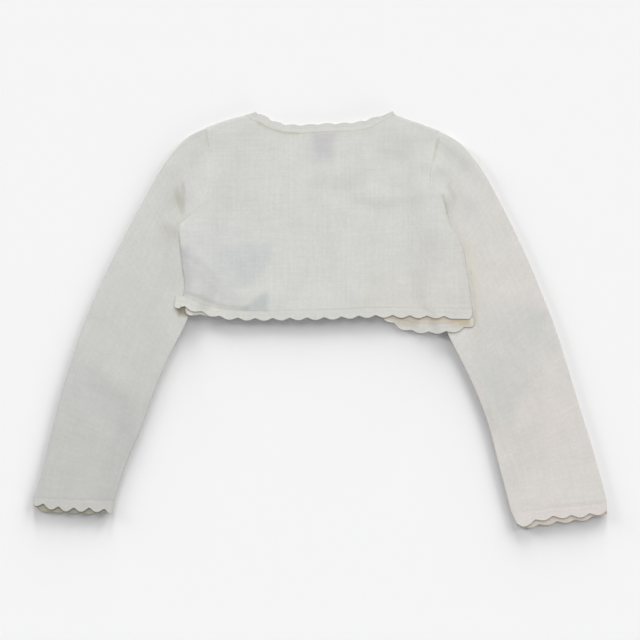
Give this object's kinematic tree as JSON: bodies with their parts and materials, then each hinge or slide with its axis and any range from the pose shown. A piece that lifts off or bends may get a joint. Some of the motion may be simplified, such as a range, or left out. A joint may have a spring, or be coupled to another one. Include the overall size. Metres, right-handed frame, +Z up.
{
  "type": "knitted shrug",
  "caption": "Child's cropped knitted shrug with long sleeves and scalloped edging at neck, fronts, hem and cuffs, laid flat with its back up.",
  "frame": {"origin": "on the surface that the shrug lies on, below the middle of its outline", "axes": "+Z up, out of the back panel's outer face; +Y to the neck; +X to the wearer's right, across the sleeves"},
  "size_m": [0.6144, 0.4468, 0.0089],
  "materials": {
    "ivory_knit": "matt fine stockinette in ivory cotton",
    "edging_knit": "matt scalloped knit edging in ivory cotton",
    "label_tape": "smooth woven white label tape, blank"
  },
  "bodies": {
    "root": {"back": "ivory_knit", "front_left": "ivory_knit", "front_right": "ivory_knit", "sleeve_left": "ivory_knit", "sleeve_right": "ivory_knit", "trim_neck_back": "edging_knit", "trim_hem_back": "edging_knit", "trim_front_left": "edging_knit", "trim_front_right": "edging_knit", "trim_cuff_left": "edging_knit", "trim_cuff_right": "edging_knit", "label_neck": "label_tape", "label_care": "label_tape"}
  },
  "joints": []
}
